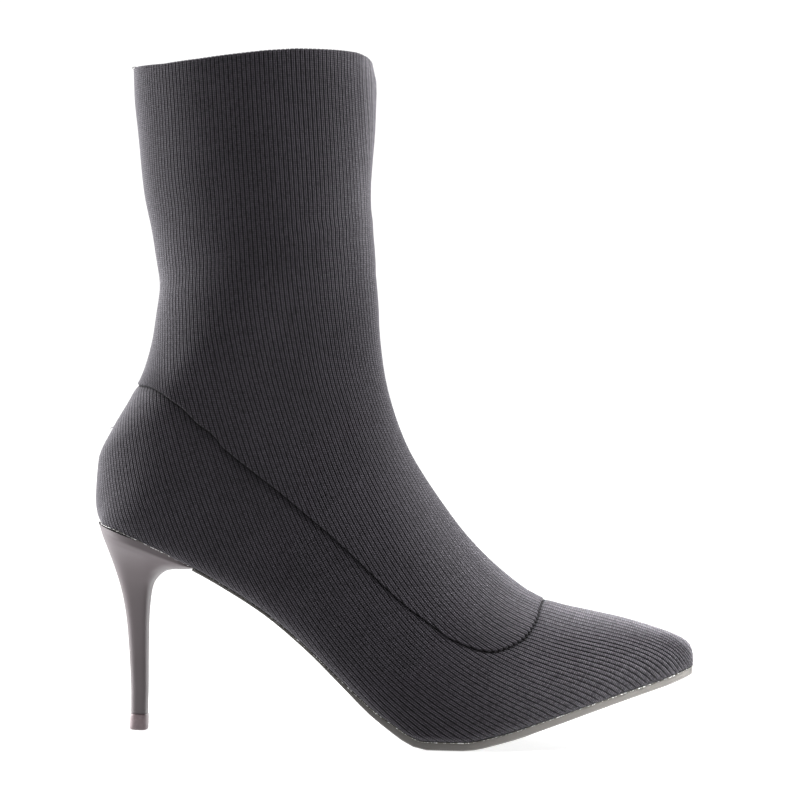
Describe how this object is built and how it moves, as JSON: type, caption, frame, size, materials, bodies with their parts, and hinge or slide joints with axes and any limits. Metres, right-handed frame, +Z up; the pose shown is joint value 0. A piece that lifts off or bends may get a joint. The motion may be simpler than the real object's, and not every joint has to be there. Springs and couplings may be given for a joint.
{
  "type": "sock boot",
  "caption": "Knitted ankle sock boot with a pointed toe, a thin outsole and a high stiletto heel; right foot.",
  "frame": {"origin": "middle of the heel tip's underside, on the floor that the boot stands on", "axes": "+X towards the toe, +Y towards the inner side of the foot, +Z up"},
  "size_m": [0.2415, 0.0784, 0.2726],
  "materials": {
    "rib_knit": "fine one-by-one rib knit, matt",
    "sole_rubber": "moulded, satin edge",
    "insole_lining": "smooth textile sock lining",
    "heel_shell": "moulded and lacquered, satin gloss",
    "top_piece": "moulded, dull"
  },
  "bodies": {
    "root": {"upper": "rib_knit", "outsole": "sole_rubber", "insole": "insole_lining", "heel": "heel_shell", "heel_tip": "top_piece"}
  },
  "joints": []
}
